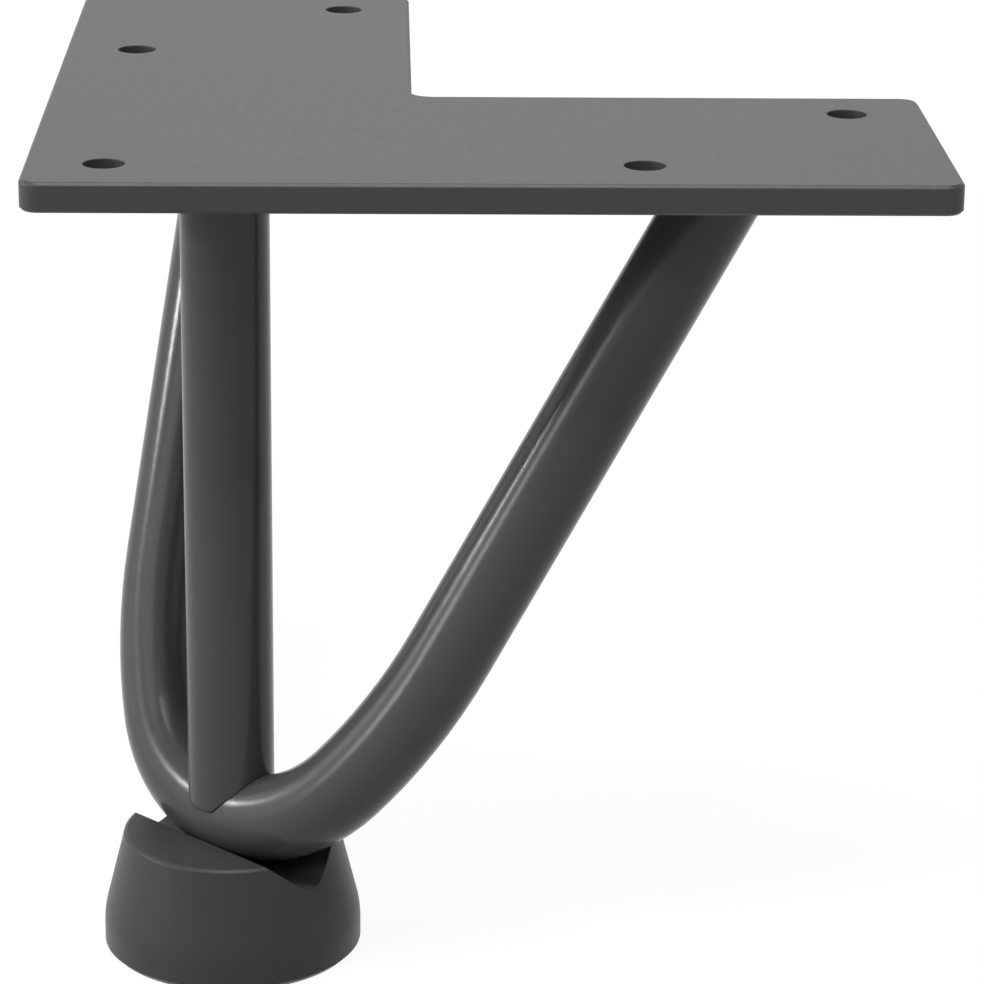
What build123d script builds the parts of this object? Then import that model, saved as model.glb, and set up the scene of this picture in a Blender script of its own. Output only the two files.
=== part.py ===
from build123d import *
import os
from math import asin, atan2, cos, degrees, hypot, radians, sin, sqrt, tan

# Hairpin table leg: an L-shaped screw plate, a U-bent bar, an upright bar and a moulded foot.
# Millimetres. The origin is where the upright bar's axis meets the plate's top face, which goes against
# the table. +Z is up, +X and +Y run along the plate's two arms. The leg is the same on both sides of
# the vertical plane that halves the corner between the arms.

# Plate
plate_side = 120.0
arm_width = 50.0
plate_thickness = 4.0
plate_corner_radius = 2.5
notch_radius = 3.0
plate_edge_chamfer = 0.4

# Screw holes
screw_hole_diameter = 5.5
corner_hole_inset = 10.25
hole_pitch = 69.5
end_hole_inset = 10.75
end_hole_margin = 10.0

# Bars
rod_diameter = 12.0
leg_height = 116.0
leg_end_inset = 27.5
bend_radius = 22.5
bend_half_angle = 55.0
easing_radius = 68.0
cope_land = 2.0

# Foot
foot_base_diameter = 36.0
foot_top_diameter = 30.0
foot_height = 17.0
foot_wall_height = 5.0
foot_sole_chamfer = 0.8
foot_shoulder_round = 14.0
foot_rim_chamfer = 0.35
groove_depth = 4.4
groove_half_angle = 49.0
groove_bottom_radius = 3.0
bed_depth = 0.15

# Welds
plate_weld_size = 3.0
plate_weld_toe = 0.3
saddle_weld_size = 1.2
saddle_weld_setback = 5.0

# Sizes and heights that follow
rod_radius = rod_diameter / 2
post_inset = arm_width / 2
outer_edge = -post_inset
arm_end = plate_side - post_inset
arm_edge = arm_width - post_inset
leg_reach = arm_end - leg_end_inset
plate_underside = -plate_thickness
sole_level = -leg_height
foot_top_level = sole_level + foot_height
foot_shoulder_level = sole_level + foot_wall_height

# The bend lies on the groove's two flanks, each of which it dents by the bed's depth.
flank_sine = sin(radians(groove_half_angle))
groove_floor_level = foot_top_level - groove_depth
groove_apex_level = groove_floor_level - groove_bottom_radius * (1 / flank_sine - 1)
bend_low_level = groove_apex_level + (rod_radius - bed_depth) / flank_sine

across = Vector(1, -1, 0).normalized()
inward = Vector(1, 1, 0).normalized()
symmetry_plane = Plane(origin=(0, 0, 0), x_dir=inward, z_dir=across)

# The hairpin lies in one slanted plane. Its origin is the lowest point of the bend's centre line, its
# x runs across the leg and its y goes up the slope to halfway between the two leg tops.
bend_low_point = Vector(0, 0, bend_low_level)
tops_middle = Vector(leg_reach / 2, leg_reach / 2, plate_underside)
slope = tops_middle - bend_low_point
hairpin_plane = Plane(origin=bend_low_point, x_dir=across, z_dir=across.cross(slope))

# Each leg is tangent to the wide easing arc that follows the tight bend.
easing_centre_across = (bend_radius - easing_radius) * sin(radians(bend_half_angle))
easing_centre_up = bend_radius + (easing_radius - bend_radius) * cos(radians(bend_half_angle))
top_from_centre_across = leg_reach / sqrt(2) - easing_centre_across
top_from_centre_up = slope.length - easing_centre_up
leg_lean = degrees(
    atan2(top_from_centre_across, top_from_centre_up)
    - asin(easing_radius / hypot(top_from_centre_across, top_from_centre_up))
)
easing_angle = 90 - leg_lean - bend_half_angle
# Past the plate's underside, where the leg is cut off level.
leg_run = slope.length


# The plate: one flat blank with plain holes and broken edges.
with BuildPart() as mounting_plate:
    with BuildSketch(Plane.XY.offset(plate_underside)) as blank:
        with Locations((outer_edge, outer_edge)):
            Rectangle(plate_side, arm_width, align=(Align.MIN, Align.MIN))
            Rectangle(arm_width, plate_side, align=(Align.MIN, Align.MIN))
        notch_corner = (arm_edge, arm_edge, 0)
        fillet(blank.vertices().sort_by_distance(notch_corner)[1:], plate_corner_radius)
        fillet(blank.vertices().sort_by_distance(notch_corner)[0], notch_radius)
    extrude(amount=plate_thickness)
    chamfer(mounting_plate.faces().filter_by(Axis.Z).edges(), plate_edge_chamfer)
    near_row = outer_edge + corner_hole_inset
    far_row = near_row + hole_pitch
    end_row = arm_end - end_hole_inset
    inner_row = arm_edge - end_hole_margin
    with Locations(
        (near_row, near_row),
        (far_row, near_row),
        (near_row, far_row),
        (end_row, inner_row),
        (inner_row, end_row),
    ):
        Hole(screw_hole_diameter / 2)
mounting_plate.part.label = "mounting_plate"

# The hairpin: half of the bar swept up one leg, cut off level with the plate, then mirrored.
with BuildPart() as hairpin_rod:
    with BuildLine(hairpin_plane) as leg_line:
        bend = JernArc((0, 0), (1, 0), bend_radius, bend_half_angle)
        easing = JernArc(bend @ 1, bend % 1, easing_radius, easing_angle)
        leg = PolarLine(easing @ 1, leg_run, direction=easing % 1)
    with BuildSketch(Plane(bend_low_point, x_dir=inward, z_dir=across)):
        Circle(rod_radius)
    sweep()
    split(bisect_by=Plane.XY.offset(plate_underside), keep=Keep.BOTTOM)
    mirror(about=symmetry_plane)
hairpin_rod.part.label = "hairpin_rod"

# The upright bar: its lower end is coped to the bend, with a narrow land instead of a knife edge.
with BuildPart() as straight_rod:
    with BuildSketch(Plane.XY.offset(plate_underside)):
        Circle(rod_radius)
    extrude(amount=bend_low_level + cope_land - plate_underside)
    add(hairpin_rod.part, mode=Mode.SUBTRACT)
straight_rod.part.label = "straight_rod"

# The foot: a turned outline, then a straight V groove with a round bottom across its top, and the two
# small beds of the bend in its flanks.
with BuildPart() as foot:
    with BuildSketch(Plane.XZ) as foot_section:
        sole_corner = (foot_base_diameter / 2, sole_level)
        shoulder = (foot_base_diameter / 2, foot_shoulder_level)
        rim = (foot_top_diameter / 2, foot_top_level)
        with BuildLine():
            Polyline((0, sole_level), sole_corner, shoulder, rim, (0, foot_top_level), close=True)
        make_face()
        chamfer(foot_section.vertices().sort_by_distance(sole_corner)[0], foot_sole_chamfer)
        fillet(foot_section.vertices().sort_by_distance(shoulder)[0], foot_shoulder_round)
        chamfer(foot_section.vertices().sort_by_distance(rim)[0], foot_rim_chamfer)
    revolve(axis=Axis.Z)
    with BuildSketch(Plane((0, 0, groove_apex_level), x_dir=inward, z_dir=across)) as groove_section:
        with BuildLine():
            mouth_height = bend_low_level - groove_apex_level
            mouth_half_width = mouth_height * tan(radians(groove_half_angle))
            Polyline((0, 0), (mouth_half_width, mouth_height), (-mouth_half_width, mouth_height), close=True)
        make_face()
        fillet(groove_section.vertices().sort_by_distance((0, 0, groove_apex_level))[0], groove_bottom_radius)
    extrude(amount=foot_base_diameter, both=True, mode=Mode.SUBTRACT)
    add(hairpin_rod.part, mode=Mode.SUBTRACT)
foot.part.label = "foot"

# Welds under the plate: a full ring round each bar, given as width at depth below the underside.
weld_steps = ((0, plate_weld_size), (plate_weld_size, plate_weld_toe))

with BuildPart() as straight_rod_weld:
    for depth, width in weld_steps:
        with BuildSketch(Plane.XY.offset(plate_underside - depth)):
            Circle(rod_radius + width)
    loft(ruled=True)
    add(straight_rod.part, mode=Mode.SUBTRACT)
straight_rod_weld.part.label = "straight_rod_weld"

# A leaning bar's ring follows the ellipse in which a level plane cuts the bar.
leg_direction = leg % 1
with BuildPart() as hairpin_weld_x:
    for depth, width in weld_steps:
        ring_centre = Vector(leg_reach, 0, plate_underside) - leg_direction * (depth / leg_direction.Z)
        with BuildSketch(Plane(ring_centre, x_dir=(leg_direction.X, leg_direction.Y, 0))):
            Ellipse(rod_radius / leg_direction.Z + width, rod_radius + width)
    loft(ruled=True)
    add(hairpin_rod.part, mode=Mode.SUBTRACT)
hairpin_weld_x.part.label = "hairpin_weld_x"

with BuildPart() as hairpin_weld_y:
    mirror(hairpin_weld_x.part, about=symmetry_plane)
hairpin_weld_y.part.label = "hairpin_weld_y"

# The weld in the saddle, on the upright bar's inner side: where both bars, thickened, share their space.
with BuildPart() as saddle_weld:
    with BuildLine(hairpin_plane):
        JernArc((0, 0), (1, 0), bend_radius, bend_half_angle)
    with BuildSketch(Plane(bend_low_point, x_dir=inward, z_dir=across)):
        Circle(rod_radius + saddle_weld_size)
    sweep()
    mirror(about=symmetry_plane)
    with BuildSketch(Plane.XY.offset(bend_low_level)):
        Circle(rod_radius + saddle_weld_size)
    extrude(amount=bend_radius, mode=Mode.INTERSECT)
    add(hairpin_rod.part, mode=Mode.SUBTRACT)
    add(straight_rod.part, mode=Mode.SUBTRACT)
    split(bisect_by=Plane(inward * saddle_weld_setback, z_dir=inward), keep=Keep.TOP)
saddle_weld.part.label = "saddle_weld"

os.makedirs("parts", exist_ok=True)
export_step(mounting_plate.part, "parts/mounting_plate.step")
export_step(hairpin_rod.part, "parts/hairpin_rod.step")
export_step(straight_rod.part, "parts/straight_rod.step")
export_step(foot.part, "parts/foot.step")
export_step(straight_rod_weld.part, "parts/straight_rod_weld.step")
export_step(hairpin_weld_x.part, "parts/hairpin_weld_x.step")
export_step(hairpin_weld_y.part, "parts/hairpin_weld_y.step")
export_step(saddle_weld.part, "parts/saddle_weld.step")
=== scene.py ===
"""Looks of a hairpin table leg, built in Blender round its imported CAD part.

The CAD part gives every rigid form: the L-shaped plate, the U-bent bar, the upright bar and the
moulded foot. This script dresses them with procedural finishes, lays rippled weld beads in place of
the plain CAD ones, and adds a pale studio and the camera at the photograph's angle. Sizes are metres
in the CAD part's own frame: the origin is on the plate's top face, on the upright bar's axis.
"""

from __future__ import annotations

import logging
import math
from dataclasses import dataclass
from enum import Enum

import bpy
import numpy as np
from mathutils import Matrix, Vector

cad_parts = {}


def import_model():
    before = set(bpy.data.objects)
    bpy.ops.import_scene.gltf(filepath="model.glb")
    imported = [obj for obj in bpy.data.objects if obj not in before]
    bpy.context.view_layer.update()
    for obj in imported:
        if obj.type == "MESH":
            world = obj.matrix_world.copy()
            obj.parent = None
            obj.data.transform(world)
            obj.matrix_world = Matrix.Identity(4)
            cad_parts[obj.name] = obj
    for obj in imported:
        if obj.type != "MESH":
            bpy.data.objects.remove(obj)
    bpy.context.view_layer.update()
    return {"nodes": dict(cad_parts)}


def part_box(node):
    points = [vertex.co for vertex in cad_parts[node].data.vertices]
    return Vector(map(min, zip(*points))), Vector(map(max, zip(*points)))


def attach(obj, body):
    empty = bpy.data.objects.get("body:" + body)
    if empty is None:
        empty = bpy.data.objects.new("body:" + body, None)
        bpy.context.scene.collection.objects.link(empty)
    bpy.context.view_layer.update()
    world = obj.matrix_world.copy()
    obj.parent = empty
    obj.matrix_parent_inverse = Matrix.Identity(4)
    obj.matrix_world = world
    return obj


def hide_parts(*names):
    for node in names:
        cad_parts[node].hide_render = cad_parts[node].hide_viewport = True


ROOT_BODY = "root"
MM = 0.001
WHITE = (1.0, 1.0, 1.0, 1.0)
NOISE_LOW, NOISE_HIGH = 0.3, 0.7

log = logging.getLogger("hairpin_leg")


class NodeMaker:
    """A material's node tree, with short calls that add nodes to it."""

    def __init__(self, name: str) -> None:
        """Start an empty node material.

        Args:
            name: the material's name.
        """
        self.material = bpy.data.materials.new(name)
        self.material.use_nodes = True
        self.tree = self.material.node_tree
        self.tree.nodes.clear()

    def add(self, kind: str, **settings: object) -> bpy.types.Node:
        """Add one node.

        Args:
            kind: Blender's type name of the node.
            **settings: properties of the node, by name.

        Returns:
            The new node.
        """
        node = self.tree.nodes.new(kind)
        for key, value in settings.items():
            setattr(node, key, value)
        return node

    def link(self, source: bpy.types.NodeSocket, target: bpy.types.NodeSocket) -> None:
        """Join an output socket to an input socket."""
        self.tree.links.new(source, target)

    def noise(
        self, vector: bpy.types.NodeSocket, scale: float, detail: float, roughness: float
    ) -> bpy.types.NodeSocket:
        """Add a noise texture.

        Args:
            vector: the coordinates that it reads.
            scale: features per metre.
            detail: octaves.
            roughness: how much the finer octaves count.

        Returns:
            The texture's value.
        """
        node = self.add("ShaderNodeTexNoise")
        node.inputs["Scale"].default_value = scale
        node.inputs["Detail"].default_value = detail
        node.inputs["Roughness"].default_value = roughness
        self.link(vector, node.inputs["Vector"])
        return node.outputs["Fac"]

    def spread(self, value: bpy.types.NodeSocket, low: float, high: float) -> bpy.types.NodeSocket:
        """Stretch the middle of a noise value to a range.

        Args:
            value: the noise value.
            low: the result at NOISE_LOW.
            high: the result at NOISE_HIGH.

        Returns:
            The stretched value.
        """
        node = self.add("ShaderNodeMapRange")
        node.inputs["From Min"].default_value = NOISE_LOW
        node.inputs["From Max"].default_value = NOISE_HIGH
        node.inputs["To Min"].default_value = low
        node.inputs["To Max"].default_value = high
        self.link(value, node.inputs["Value"])
        return node.outputs["Result"]

    def two_tone(
        self,
        share: bpy.types.NodeSocket,
        dark: tuple[float, float, float],
        light: tuple[float, float, float],
    ) -> bpy.types.NodeSocket:
        """Mix two colours.

        Args:
            share: 0 gives the dark colour and 1 the light one.
            dark: linear colour.
            light: linear colour.

        Returns:
            The mixed colour.
        """
        node = self.add("ShaderNodeMix", data_type="RGBA")
        factor, first, second, result = node.inputs[0], node.inputs[6], node.inputs[7], node.outputs[2]
        first.default_value = (*dark, 1.0)
        second.default_value = (*light, 1.0)
        self.link(share, factor)
        return result

    def bump(
        self,
        height: bpy.types.NodeSocket,
        distance: float,
        strength: float,
        under: bpy.types.NodeSocket | None = None,
    ) -> bpy.types.NodeSocket:
        """Add a bump layer.

        Args:
            height: the relief, from 0 to 1.
            distance: the relief's full height in metres.
            strength: how much of it shows.
            under: the normal that it goes on, or none for the plain surface.

        Returns:
            The bent normal.
        """
        node = self.add("ShaderNodeBump")
        node.inputs["Distance"].default_value = distance
        node.inputs["Strength"].default_value = strength
        self.link(height, node.inputs["Height"])
        if under is not None:
            self.link(under, node.inputs["Normal"])
        return node.outputs["Normal"]

    def close(self, shader: bpy.types.NodeSocket) -> bpy.types.Material:
        """Join the shader to the output and give the material."""
        self.link(shader, self.add("ShaderNodeOutputMaterial").inputs["Surface"])
        return self.material


@dataclass(frozen=True)
class Coating:
    """A satin coating or moulded skin: two close tones, soft relief and fine grain.

    Colours are linear, scales are features per metre, and reliefs and the edge's radius are metres.
    """

    name: str
    dark: tuple[float, float, float]
    light: tuple[float, float, float]
    roughness: tuple[float, float]
    peel_scale: float
    peel_relief: float
    grain_scale: float
    grain_relief: float
    edge_radius: float
    specular: float = 0.5
    cloud_scale: float = 60.0
    edge_samples: int = 6

    def build(self) -> bpy.types.Material:
        """Make the finish as a procedural material.

        The tone follows a slow noise, the gloss a faster one. The relief is a soft dimpling, as sprayed
        powder leaves when it flows, under a fine grain, and both lie on edges that are rounded in shading.

        Returns:
            The material.
        """
        maker = NodeMaker(self.name)
        place = maker.add("ShaderNodeTexCoord").outputs["Object"]
        cloud = maker.noise(place, scale=self.cloud_scale, detail=3.0, roughness=0.55)
        peel = maker.noise(place, scale=self.peel_scale, detail=2.0, roughness=0.5)
        grain = maker.noise(place, scale=self.grain_scale, detail=2.0, roughness=0.6)
        edges = maker.add("ShaderNodeBevel", samples=self.edge_samples)
        edges.inputs["Radius"].default_value = self.edge_radius
        dimples = maker.bump(peel, self.peel_relief, strength=1.0, under=edges.outputs["Normal"])
        relief = maker.bump(grain, self.grain_relief, strength=1.0, under=dimples)
        shader = maker.add("ShaderNodeBsdfPrincipled")
        shader.inputs["Specular IOR Level"].default_value = self.specular
        tone = maker.two_tone(maker.spread(cloud, low=0.0, high=1.0), self.dark, self.light)
        maker.link(tone, shader.inputs["Base Color"])
        maker.link(maker.spread(peel, *self.roughness), shader.inputs["Roughness"])
        maker.link(relief, shader.inputs["Normal"])
        return maker.close(shader.outputs["BSDF"])


class Finish(Enum):
    """The leg's finishes."""

    PLATE_COAT = Coating(
        name="plate_powder_coat",
        dark=(0.0330, 0.0328, 0.0307),
        light=(0.0350, 0.0348, 0.0326),
        roughness=(0.43, 0.47),
        peel_scale=900.0,
        peel_relief=0.000006,
        grain_scale=5200.0,
        grain_relief=0.0000015,
        edge_radius=0.00025,
        specular=0.36,
    )
    BAR_COAT = Coating(
        name="bar_powder_coat",
        dark=(0.0510, 0.0508, 0.0481),
        light=(0.0555, 0.0553, 0.0524),
        roughness=(0.20, 0.23),
        peel_scale=700.0,
        peel_relief=0.000014,
        grain_scale=5200.0,
        grain_relief=0.000002,
        edge_radius=0.0003,
        specular=0.20,
    )
    WELD_COAT = Coating(
        name="coated_weld",
        dark=(0.0410, 0.0408, 0.0386),
        light=(0.0500, 0.0498, 0.0471),
        roughness=(0.32, 0.44),
        peel_scale=1500.0,
        peel_relief=0.00003,
        grain_scale=6000.0,
        grain_relief=0.000004,
        edge_radius=0.0002,
    )
    FOOT_PLASTIC = Coating(
        name="moulded_foot_plastic",
        dark=(0.0330, 0.0328, 0.0311),
        light=(0.0356, 0.0354, 0.0335),
        roughness=(0.36, 0.42),
        peel_scale=1600.0,
        peel_relief=0.000006,
        grain_scale=7000.0,
        grain_relief=0.000004,
        edge_radius=0.0003,
        specular=0.20,
    )


class FinishShelf:
    """Makes each finish once and dresses pieces with it."""

    def __init__(self) -> None:
        """Start with no material made."""
        self._made: dict[Finish, bpy.types.Material] = {}

    def dress(self, piece: bpy.types.Object, finish: Finish) -> None:
        """Give every material slot of a piece one finish.

        Args:
            piece: a CAD node or a new piece.
            finish: the finish.
        """
        if finish not in self._made:
            self._made[finish] = finish.value.build()
        material = self._made[finish]
        if not piece.material_slots:
            piece.data.materials.append(material)
        for material_slot in piece.material_slots:
            material_slot.material = material


def unit(vectors: np.ndarray) -> np.ndarray:
    """Scale vectors to length 1: each is divided by the root of its summed squares.

    Args:
        vectors: array whose last axis holds x, y, z.

    Returns:
        The unit vectors, in the same shape.
    """
    return vectors / np.linalg.norm(vectors, axis=-1, keepdims=True)


def grid_faces(rows: int, columns: int, closed_rows: bool) -> np.ndarray:
    """Number the quads of a grid whose columns close on themselves.

    Vertex (i, j) has number i * columns + j. A quad joins (i, j), (i, j + 1), (i + 1, j + 1), (i + 1, j),
    with j taken round its count, and i too where the rows close.

    Args:
        rows: vertices along the path.
        columns: vertices round the section.
        closed_rows: whether the path closes.

    Returns:
        An array of quads, four vertex numbers each.
    """
    last = rows if closed_rows else rows - 1
    i, j = np.meshgrid(np.arange(last), np.arange(columns), indexing="ij")
    after_i, after_j = (i + 1) % rows, (j + 1) % columns
    corners = (i * columns + j, i * columns + after_j, after_i * columns + after_j, after_i * columns + j)
    return np.stack(corners, axis=-1).reshape(-1, 4)


@dataclass(frozen=True)
class Bead:
    """A weld bead in the corner between two surfaces, with the ripples of its pools.

    At each point of the seam, foot_a and foot_b are the directions that leave the corner along the two
    surfaces. The visible face runs from one toe to the other and bulges, and the back lies in the corner.
    Lengths are metres, the ripple is a share of the bead's size, toe_lag is turns and saw_lean radians.
    """

    leg_a: float
    leg_b: float
    bulge: float
    ripple: float
    pitch: float
    face_steps: int = 12
    toe_lag: float = 0.9
    saw_lean: float = 0.5

    def section(
        self, corner: np.ndarray, foot_a: np.ndarray, foot_b: np.ndarray, along: np.ndarray, size: np.ndarray
    ) -> np.ndarray:
        """Carry the bead's section along the seam.

        With t from 0 to 1 across the face, a point is corner + leg_a (1 - t) foot_a + leg_b t foot_b, raised
        by 4 t (1 - t) times the bulge. Its distance from the corner is then scaled by a ripple: a rounded
        saw that repeats every pitch along the seam and lags towards the toes, as frozen pools do.

        Args:
            corner: seam points, one row each.
            foot_a: unit directions along the first surface.
            foot_b: unit directions along the second surface.
            along: distance of each seam point along the seam.
            size: the bead's share of its full size at each seam point.

        Returns:
            Points with axes seam, section, xyz. The last point of each section is the corner itself.
        """
        t = np.linspace(0.0, 1.0, self.face_steps)[None, :, None]
        outward = unit(foot_a * self.leg_b + foot_b * self.leg_a)[:, None, :]
        hump = 4.0 * t * (1.0 - t)
        face = self.leg_a * (1.0 - t) * foot_a[:, None, :] + self.leg_b * t * foot_b[:, None, :]
        face = face + self.bulge * hump * outward
        lag = self.toe_lag * (1.0 - hump[:, :, 0])
        phase = 2.0 * math.pi * (along[:, None] / self.pitch + lag)
        pools = 1.0 - self.ripple * (0.5 + 0.5 * np.sin(phase + self.saw_lean * np.sin(phase)))
        face = face * (pools * size[:, None])[:, :, None]
        return np.concatenate((corner[:, None, :] + face, corner[:, None, :]), axis=1)


def mesh_piece(name: str, points: np.ndarray, quads: np.ndarray, caps: list[list[int]]) -> bpy.types.Object:
    """Make a smooth mesh object at the origin.

    Args:
        name: the piece's name.
        points: vertices, one row each.
        quads: four vertex numbers a row.
        caps: further faces, such as the two ends of an open bead.

    Returns:
        The object, linked to the scene.
    """
    mesh = bpy.data.meshes.new(name)
    mesh.from_pydata(points.tolist(), [], quads.tolist() + caps)
    mesh.shade_smooth()
    mesh.update()
    piece = bpy.data.objects.new(name, mesh)
    bpy.context.scene.collection.objects.link(piece)
    return piece


@dataclass
class BarGeometry:
    """The bars' centre lines, from the CAD part's boxes and its few known sizes. Angles are degrees."""

    bar_radius: float = 6.0 * MM
    bend_radius: float = 22.5 * MM
    bend_half_angle: float = 55.0
    easing_radius: float = 68.0 * MM
    leg_top_reach: float = 67.5 * MM
    underside: float = 0.0
    bend_low: float = 0.0

    def read_frame(self) -> None:
        """Take the plate's underside and the bend's lowest centre point from the CAD nodes."""
        self.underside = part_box("mounting_plate")[0].z
        self.bend_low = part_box("hairpin_rod")[0].z + self.bar_radius

    @property
    def across(self) -> np.ndarray:
        """Unit direction across the leg, level."""
        return np.array((1.0, -1.0, 0.0)) / math.sqrt(2.0)

    @property
    def low_point(self) -> np.ndarray:
        """The lowest point of the bend's centre line."""
        return np.array((0.0, 0.0, self.bend_low))

    @property
    def up_slope(self) -> np.ndarray:
        """Unit direction up the hairpin's slanted plane."""
        half_reach = self.leg_top_reach / 2.0
        return unit(np.array((half_reach, half_reach, self.underside)) - self.low_point)

    @property
    def bend_centre(self) -> np.ndarray:
        """Centre of the tight bend."""
        return self.low_point + self.bend_radius * self.up_slope

    @property
    def leg_direction(self) -> np.ndarray:
        """Unit direction up the leg that ends over +X.

        The leg is tangent to a wide easing arc that follows the tight bend, so its lean in the slanted
        plane is the angle to the leg's top from that arc's centre, less the angle whose sine is the arc's
        radius over the distance to that top.
        """
        turn = math.radians(self.bend_half_angle)
        top = np.array((self.leg_top_reach, 0.0, self.underside)) - self.low_point
        widening = self.easing_radius - self.bend_radius
        beside = top @ self.across + widening * math.sin(turn)
        above = top @ self.up_slope - self.bend_radius - widening * math.cos(turn)
        lean = math.atan2(beside, above) - math.asin(self.easing_radius / math.hypot(beside, above))
        return math.cos(lean) * self.up_slope + math.sin(lean) * self.across


@dataclass
class WeldBeads:
    """Rippled beads in place of the plain CAD welds: a ring round each bar's top, one in the saddle.

    The saddle's bead reaches saddle_half_angle degrees to each side of the leg's symmetry plane.
    """

    bars: BarGeometry
    shelf: FinishShelf
    ring: Bead = Bead(leg_a=2.9 * MM, leg_b=2.9 * MM, bulge=0.35 * MM, ripple=0.09, pitch=1.3 * MM)
    ring_steps: int = 480
    saddle_radius: float = 1.05 * MM
    saddle_half_angle: float = 40.0
    saddle_steps: int = 160
    saddle_sides: int = 20
    saddle_ripple: float = 0.10
    saddle_pitch: float = 1.1 * MM
    saddle_lag: float = 0.8
    saddle_end_share: float = 0.02
    land: float = 2.0 * MM
    halvings: int = 40
    upright_limit: float = 1e-6

    def plate_ring(self, name: str, node: str, centre: tuple[float, float], up: np.ndarray) -> None:
        """Lay a closed bead where a bar meets the plate's underside.

        A level plane cuts a leaning bar in an ellipse: its short half-axis is the bar's radius and its long
        one that radius over the upward part of the bar's direction. The seam is centre + long cos(u) ahead
        + short sin(u) beside, and the bead's feet leave it along the plate and down the bar.

        Args:
            name: the new piece's name.
            node: the CAD weld that it stands for.
            centre: x and y of the bar's axis at the plate's underside.
            up: the bar's unit direction.
        """
        level = np.array((up[0], up[1], 0.0))
        leans = np.linalg.norm(level) > self.upright_limit
        ahead = unit(level) if leans else np.array((1.0, 0.0, 0.0))
        beside = np.cross((0.0, 0.0, 1.0), ahead)
        long_axis, short_axis = self.bars.bar_radius / up[2], self.bars.bar_radius
        u = np.linspace(0.0, 2.0 * math.pi, self.ring_steps, endpoint=False)[:, None]
        middle = np.array((*centre, self.bars.underside))
        corner = middle + long_axis * np.cos(u) * ahead + short_axis * np.sin(u) * beside
        foot_a = unit(np.cos(u) / long_axis * ahead + np.sin(u) / short_axis * beside)
        foot_b = np.broadcast_to(-up, corner.shape)
        steps = np.linalg.norm(np.roll(corner, -1, axis=0) - corner, axis=1)
        length = steps.sum()
        whole_pitch = length / round(length / self.ring.pitch)
        along = (np.cumsum(steps) - steps) * self.ring.pitch / whole_pitch
        points = self.ring.section(corner, foot_a, foot_b, along, np.ones(len(corner)))
        rows, columns = points.shape[:2]
        piece = mesh_piece(name, points.reshape(-1, 3), grid_faces(rows, columns, True), [])
        self.place(piece, node)

    def saddle_seam(self) -> tuple[np.ndarray, np.ndarray]:
        """Find the seam between the upright bar's inner side and the bend.

        The seam lies on the upright bar, so its x and y are the bar's radius times the cosine and sine of
        an angle. Its height is where the distance to the bend's centre circle is the bar's radius again,
        which halvings between the bend's lowest centre point and a bend radius above it find for all
        angles at once. It isn't lower than the upright bar's flat lower end.

        Returns:
            The seam's points and the upright bar's outward directions there.
        """
        half = math.radians(self.saddle_half_angle)
        angle = math.pi / 4.0 + np.linspace(-half, half, self.saddle_steps)
        outward = np.stack((np.cos(angle), np.sin(angle), np.zeros_like(angle)), axis=1)
        low = np.full(len(angle), self.bars.bend_low)
        high = low + self.bars.bend_radius
        normal = np.cross(self.bars.across, self.bars.up_slope)
        for _ in range(self.halvings):
            middle = 0.5 * (low + high)
            from_centre = self.on_upright_bar(outward, middle) - self.bars.bend_centre
            aside = np.hypot(from_centre @ self.bars.across, from_centre @ self.bars.up_slope)
            gap = np.hypot(aside - self.bars.bend_radius, from_centre @ normal) - self.bars.bar_radius
            low, high = np.where(gap < 0.0, middle, low), np.where(gap < 0.0, high, middle)
        level = np.maximum(high, self.bars.bend_low + self.land)
        return self.on_upright_bar(outward, level), outward

    def on_upright_bar(self, outward: np.ndarray, level: np.ndarray) -> np.ndarray:
        """Give the points on the upright bar's side in these level directions, at these heights."""
        return self.bars.bar_radius * outward + level[:, None] * np.array((0.0, 0.0, 1.0))

    def saddle_bead(self) -> None:
        """Lay a round bead along the saddle's seam.

        A circle is carried along the seam, square to it, so half of it lies in the bars. Its radius follows
        the fourth root of a half sine wave, which rounds both ends off, and ripples every pitch.
        """
        seam, outward = self.saddle_seam()
        along_seam = unit(np.gradient(seam, axis=0))
        side = unit(outward - (outward * along_seam).sum(axis=1, keepdims=True) * along_seam)
        over = np.cross(along_seam, side)
        steps = np.linalg.norm(np.diff(seam, axis=0), axis=1)
        along = np.concatenate(((0.0,), np.cumsum(steps)))
        share = np.clip(np.sin(math.pi * along / along[-1]), self.saddle_end_share, 1.0) ** 0.25
        turn = np.linspace(0.0, 2.0 * math.pi, self.saddle_sides, endpoint=False)
        phase = 2.0 * math.pi * along[:, None] / self.saddle_pitch + self.saddle_lag * np.cos(turn)[None, :]
        pools = 1.0 - self.saddle_ripple * (0.5 + 0.5 * np.sin(phase))
        radius = self.saddle_radius * share[:, None] * pools
        ring = np.cos(turn)[None, :, None] * side[:, None, :] + np.sin(turn)[None, :, None] * over[:, None, :]
        points = seam[:, None, :] + radius[:, :, None] * ring
        rows, columns = points.shape[:2]
        first = list(range(columns))
        last = [(rows - 1) * columns + j for j in reversed(range(columns))]
        quads = grid_faces(rows, columns, False)
        piece = mesh_piece("saddle_bead", points.reshape(-1, 3), quads, [first, last])
        self.place(piece, "saddle_weld")

    def place(self, piece: bpy.types.Object, node: str) -> None:
        """Dress a bead, put it on the leg and let it stand for its CAD weld.

        Args:
            piece: the bead.
            node: the CAD weld that it stands for.
        """
        self.shelf.dress(piece, Finish.WELD_COAT)
        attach(piece, ROOT_BODY)
        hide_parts(node)
        log.info("bead %s stands for %s", piece.name, node)

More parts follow.
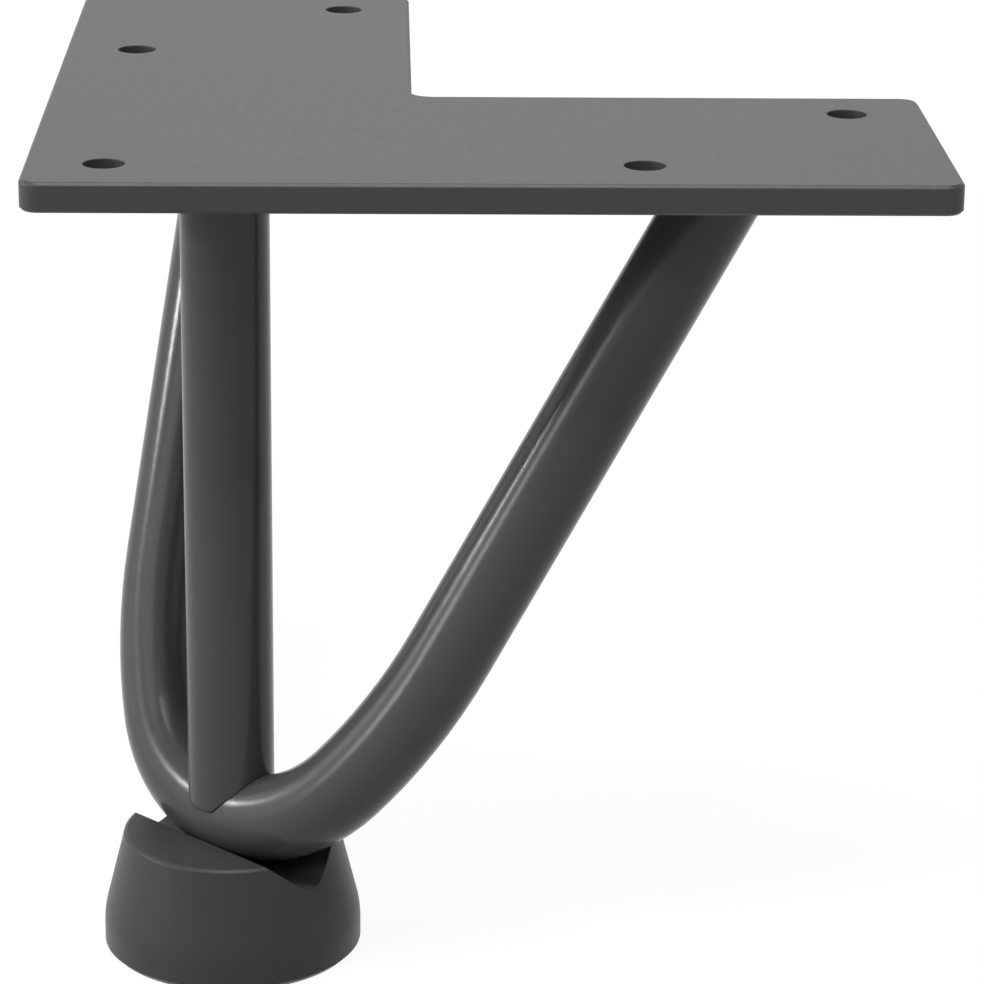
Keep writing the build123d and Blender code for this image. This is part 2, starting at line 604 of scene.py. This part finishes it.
    def build(self) -> None:
        """Lay all the beads."""
        lean = self.bars.leg_direction
        mirrored = np.array((lean[1], lean[0], lean[2]))
        reach = self.bars.leg_top_reach
        self.plate_ring("straight_bar_bead", "straight_rod_weld", (0.0, 0.0), np.array((0.0, 0.0, 1.0)))
        self.plate_ring("hairpin_bead_x", "hairpin_weld_x", (reach, 0.0), lean)
        self.plate_ring("hairpin_bead_y", "hairpin_weld_y", (0.0, reach), mirrored)
        self.saddle_bead()


@dataclass
class LegBody:
    """The carried-over CAD pieces and the finish of each."""

    nodes: dict[str, bpy.types.Object]
    shelf: FinishShelf

    def build(self) -> None:
        """Dress every CAD piece, the welds that beads stand for too."""
        finishes = {
            "mounting_plate": Finish.PLATE_COAT,
            "hairpin_rod": Finish.BAR_COAT,
            "straight_rod": Finish.BAR_COAT,
            "straight_rod_weld": Finish.WELD_COAT,
            "hairpin_weld_x": Finish.WELD_COAT,
            "hairpin_weld_y": Finish.WELD_COAT,
            "saddle_weld": Finish.WELD_COAT,
            "foot": Finish.FOOT_PLASTIC,
        }
        for node, finish in finishes.items():
            self.shelf.dress(self.nodes[node], finish)
            log.info("%s: %s", node, finish.value.name)


def seen_directly(tree: bpy.types.NodeTree) -> bpy.types.NodeSocket:
    """Tell the rays that show the surroundings from those that only carry light.

    Args:
        tree: a material's or the world's node tree.

    Returns:
        1 for camera, glossy and transmission rays, and 0 for the rest.
    """
    path = tree.nodes.new("ShaderNodeLightPath")
    seen = path.outputs["Is Camera Ray"]
    for kind in ("Is Glossy Ray", "Is Transmission Ray"):
        larger = tree.nodes.new("ShaderNodeMath")
        larger.operation = "MAXIMUM"
        tree.links.new(seen, larger.inputs[0])
        tree.links.new(path.outputs[kind], larger.inputs[1])
        seen = larger.outputs[0]
    return seen


@dataclass(frozen=True)
class Softbox:
    """A square or oblong lamp that looks at a point. Sizes and places are metres, power is watts."""

    name: str
    place: tuple[float, float, float]
    target: tuple[float, float, float]
    size: tuple[float, float]
    power: float

    def build(self) -> None:
        """Hang the lamp."""
        data = bpy.data.lights.new(self.name, "AREA")
        data.shape = "RECTANGLE"
        data.size, data.size_y = self.size
        data.energy = self.power
        lamp = bpy.data.objects.new(self.name, data)
        bpy.context.scene.collection.objects.link(lamp)
        lamp.visible_camera = False
        lamp.location = self.place
        lamp.rotation_euler = (Vector(self.target) - Vector(self.place)).to_track_quat("-Z", "Y").to_euler()


@dataclass
class Studio:
    """Pale floor, white surroundings, soft lamps and the camera at the photograph's angle.

    Where it is seen or mirrored, the floor is a mix of plain white and the floor as lit. The white's
    strength is a little over 1, so that the mix is white where no shadow falls. Lengths are metres,
    the camera's angles are degrees, and its sensor is in millimetres.
    """

    sole_level: float
    floor_size: float = 8.0
    floor_tone: float = 0.50
    shadow_share: float = 0.14
    shadow_reach: tuple[float, float] = (0.35, 1.2)
    white_strength: float = 1.09
    fill: float = 0.27
    camera_place: tuple[float, float, float] = (0.02099, -0.49192, 0.11713)
    yaw: float = 1.743
    pitch: float = 18.691
    roll: float = 0.641
    focal_pixels: float = 3809.0
    frame_pixels: float = 984.0
    sensor: float = 36.0
    clip: tuple[float, float] = (0.01, 50.0)
    lamps: tuple[Softbox, ...] = (
        Softbox("left_key", (-0.60, 0.06, 0.24), (0.0, 0.0, -0.08), (0.07, 0.07), 1.9),
        Softbox("left_front_key", (-1.0, -0.42, 0.32), (0.03, 0.0, -0.06), (0.20, 0.30), 2.9),
        Softbox("left_wall", (-1.25, 0.0, 0.12), (0.0, 0.0, -0.06), (1.1, 0.8), 2.3),
        Softbox("left_front_box", (-0.9, -0.7, 0.9), (0.02, 0.0, -0.05), (0.7, 0.7), 3.9),
        Softbox("front_edge_box", (0.0, -0.38, 1.15), (0.0, 0.0, -0.05), (0.7, 0.35), 11.5),
        Softbox("back_key", (0.06, 0.98, 0.85), (0.0, 0.0, -0.09), (0.50, 0.35), 1.6),
    )

    def shadow_fade(self, maker: NodeMaker) -> bpy.types.NodeSocket:
        """Let the shadow's share fall to nothing with the distance, so that the far floor is plain white.

        Args:
            maker: the floor's node tree.

        Returns:
            The share at each point of the floor.
        """
        distance = maker.add("ShaderNodeVectorMath", operation="LENGTH")
        maker.link(maker.add("ShaderNodeTexCoord").outputs["Object"], distance.inputs[0])
        fade = maker.add("ShaderNodeMapRange")
        fade.inputs["From Min"].default_value, fade.inputs["From Max"].default_value = self.shadow_reach
        fade.inputs["To Min"].default_value = self.shadow_share
        fade.inputs["To Max"].default_value = 0.0
        maker.link(distance.outputs["Value"], fade.inputs["Value"])
        return fade.outputs["Result"]

    def floor(self) -> None:
        """Lay the floor under the sole. It is seen and mirrored white, with a share of the real shadow."""
        half = self.floor_size / 2.0
        corners = [(-half, -half), (half, -half), (half, half), (-half, half)]
        mesh = bpy.data.meshes.new("floor")
        mesh.from_pydata([(x, y, self.sole_level) for x, y in corners], [], [(0, 1, 2, 3)])
        piece = bpy.data.objects.new("floor", mesh)
        bpy.context.scene.collection.objects.link(piece)
        maker = NodeMaker("pale_floor")
        lit = maker.add("ShaderNodeBsdfDiffuse")
        lit.inputs["Color"].default_value = (self.floor_tone, self.floor_tone, self.floor_tone, 1.0)
        white = maker.add("ShaderNodeEmission")
        white.inputs["Color"].default_value = WHITE
        white.inputs["Strength"].default_value = self.white_strength
        seen = maker.add("ShaderNodeMixShader")
        maker.link(self.shadow_fade(maker), seen.inputs["Fac"])
        maker.link(white.outputs[0], seen.inputs[1])
        maker.link(lit.outputs[0], seen.inputs[2])
        top = maker.add("ShaderNodeMixShader")
        maker.link(seen_directly(maker.tree), top.inputs["Fac"])
        maker.link(lit.outputs[0], top.inputs[1])
        maker.link(seen.outputs[0], top.inputs[2])
        from_below = maker.add("ShaderNodeMixShader")
        maker.link(maker.add("ShaderNodeNewGeometry").outputs["Backfacing"], from_below.inputs["Fac"])
        maker.link(top.outputs[0], from_below.inputs[1])
        maker.link(maker.add("ShaderNodeBsdfTransparent").outputs[0], from_below.inputs[2])
        mesh.materials.append(maker.close(from_below.outputs[0]))

    def surroundings(self) -> None:
        """Make the world white for camera, glossy and transmitted rays, and a softer fill for the rest."""
        world = bpy.data.worlds.new("studio")
        world.use_nodes = True
        tree = world.node_tree
        tree.nodes.clear()
        strength = tree.nodes.new("ShaderNodeMapRange")
        strength.inputs["To Min"].default_value = self.fill
        strength.inputs["To Max"].default_value = 1.0
        backdrop = tree.nodes.new("ShaderNodeBackground")
        output = tree.nodes.new("ShaderNodeOutputWorld")
        for source, target in (
            (seen_directly(tree), strength.inputs["Value"]),
            (strength.outputs["Result"], backdrop.inputs["Strength"]),
            (backdrop.outputs[0], output.inputs["Surface"]),
        ):
            tree.links.new(source, target)
        backdrop.inputs["Color"].default_value = WHITE
        bpy.context.scene.world = world

    def camera(self) -> None:
        """Set the camera up as it was fitted to the photograph: place, yaw, pitch, roll and focal length."""
        yaw, pitch, roll = (math.radians(a) for a in (self.yaw, self.pitch, self.roll))
        ahead = Vector(
            (math.sin(yaw) * math.cos(pitch), math.cos(yaw) * math.cos(pitch), -math.sin(pitch))
        )
        level_right = Vector((math.cos(yaw), -math.sin(yaw), 0.0))
        level_up = level_right.cross(ahead)
        right = math.cos(roll) * level_right + math.sin(roll) * level_up
        up = math.cos(roll) * level_up - math.sin(roll) * level_right
        data = bpy.data.cameras.new("camera")
        data.sensor_fit = "HORIZONTAL"
        data.sensor_width = self.sensor
        data.lens = self.sensor * self.focal_pixels / self.frame_pixels
        data.clip_start, data.clip_end = self.clip
        camera = bpy.data.objects.new("camera", data)
        bpy.context.scene.collection.objects.link(camera)
        turn = Matrix((right, up, -ahead)).transposed().to_4x4()
        camera.matrix_world = Matrix.Translation(self.camera_place) @ turn
        bpy.context.scene.camera = camera

    def build(self) -> None:
        """Set up the whole studio."""
        self.floor()
        self.surroundings()
        for lamp in self.lamps:
            lamp.build()
        self.camera()
        bpy.context.scene.view_settings.view_transform = "Standard"
        log.info("studio with %d lamps", len(self.lamps))


def main() -> None:
    """Load the frame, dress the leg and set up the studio."""
    logging.basicConfig(level=logging.INFO, format="%(name)s: %(message)s")
    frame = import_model()
    shelf = FinishShelf()
    LegBody(frame["nodes"], shelf).build()
    bars = BarGeometry()
    bars.read_frame()
    WeldBeads(bars, shelf).build()
    Studio(sole_level=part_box("foot")[0].z).build()


if __name__ == "__main__":
    main()
